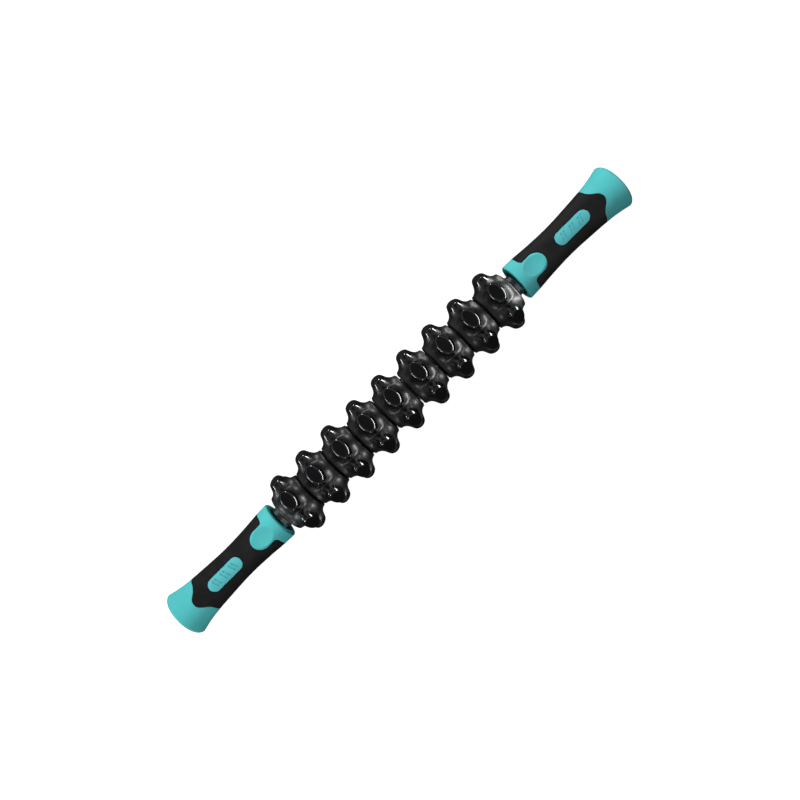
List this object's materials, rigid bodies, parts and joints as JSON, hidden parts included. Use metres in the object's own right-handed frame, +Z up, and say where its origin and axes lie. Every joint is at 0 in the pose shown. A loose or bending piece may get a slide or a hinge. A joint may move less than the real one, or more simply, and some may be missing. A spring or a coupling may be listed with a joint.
{
  "type": "massage roller stick",
  "caption": "Hand-held massage stick: knobbed rollers turning on a steel tube between two flared handles with soft grips.",
  "frame": {"origin": "middle of the tube's axis, halfway between the two handle ends", "axes": "+X along the tube, +Z up with the stick lying on its knobs, handle badges toward +Z and leaning to -Y"},
  "size_m": [0.45, 0.05, 0.0494],
  "materials": {
    "roller_black": "gloss black moulded plastic",
    "bearing_plastic": "dark self-lubricating plastic, dull",
    "chrome_steel": "bright plated steel",
    "teal_plastic": "satin moulded plastic",
    "badge_teal": "satin moulded plastic with raised rim",
    "grip_rubber": "matt soft rubber",
    "zinc_steel": "bright zinc plate"
  },
  "bodies": {
    "stick": {"core_tube": "chrome_steel", "end_cap_left": "teal_plastic", "end_cap_right": "teal_plastic", "end_washer_left": "bearing_plastic", "end_washer_right": "bearing_plastic", "handle_badge_left": "badge_teal", "handle_badge_right": "badge_teal", "handle_core_left": "teal_plastic", "handle_core_right": "teal_plastic", "handle_grip_left": "grip_rubber", "handle_grip_right": "grip_rubber", "handle_screw_left": "zinc_steel", "handle_screw_right": "zinc_steel", "neck_collar_left": "chrome_steel", "neck_collar_right": "chrome_steel", "screw_washer_left": "zinc_steel", "screw_washer_right": "zinc_steel", "spacer_washer_1": "bearing_plastic", "spacer_washer_2": "bearing_plastic", "spacer_washer_3": "bearing_plastic", "spacer_washer_4": "bearing_plastic", "spacer_washer_5": "bearing_plastic", "spacer_washer_6": "bearing_plastic", "spacer_washer_7": "bearing_plastic", "spacer_washer_8": "bearing_plastic", "tube_plug_left": "zinc_steel", "tube_plug_right": "zinc_steel"},
    "roller_1": {"roller_hub_1": "bearing_plastic", "roller_tyre_1": "roller_black"},
    "roller_2": {"roller_hub_2": "bearing_plastic", "roller_tyre_2": "roller_black"},
    "roller_3": {"roller_hub_3": "bearing_plastic", "roller_tyre_3": "roller_black"},
    "roller_4": {"roller_hub_4": "bearing_plastic", "roller_tyre_4": "roller_black"},
    "roller_5": {"roller_hub_5": "bearing_plastic", "roller_tyre_5": "roller_black"},
    "roller_6": {"roller_hub_6": "bearing_plastic", "roller_tyre_6": "roller_black"},
    "roller_7": {"roller_hub_7": "bearing_plastic", "roller_tyre_7": "roller_black"},
    "roller_8": {"roller_hub_8": "bearing_plastic", "roller_tyre_8": "roller_black"},
    "roller_9": {"roller_hub_9": "bearing_plastic", "roller_tyre_9": "roller_black"}
  },
  "joints": [
    {"name": "roller_1_spin", "type": "hinge", "parent": "stick", "child": "roller_1", "pos_m": [-0.1048, 0, 0], "axis": [1, 0, 0], "continuous": true},
    {"name": "roller_2_spin", "type": "hinge", "parent": "stick", "child": "roller_2", "pos_m": [-0.0786, 0, 0], "axis": [1, 0, 0], "continuous": true},
    {"name": "roller_3_spin", "type": "hinge", "parent": "stick", "child": "roller_3", "pos_m": [-0.0524, 0, 0], "axis": [1, 0, 0], "continuous": true},
    {"name": "roller_4_spin", "type": "hinge", "parent": "stick", "child": "roller_4", "pos_m": [-0.0262, 0, 0], "axis": [1, 0, 0], "continuous": true},
    {"name": "roller_5_spin", "type": "hinge", "parent": "stick", "child": "roller_5", "pos_m": [0, 0, 0], "axis": [1, 0, 0], "continuous": true},
    {"name": "roller_6_spin", "type": "hinge", "parent": "stick", "child": "roller_6", "pos_m": [0.0262, 0, 0], "axis": [1, 0, 0], "continuous": true},
    {"name": "roller_7_spin", "type": "hinge", "parent": "stick", "child": "roller_7", "pos_m": [0.0524, 0, 0], "axis": [1, 0, 0], "continuous": true},
    {"name": "roller_8_spin", "type": "hinge", "parent": "stick", "child": "roller_8", "pos_m": [0.0786, 0, 0], "axis": [1, 0, 0], "continuous": true},
    {"name": "roller_9_spin", "type": "hinge", "parent": "stick", "child": "roller_9", "pos_m": [0.1048, 0, 0], "axis": [1, 0, 0], "continuous": true}
  ]
}
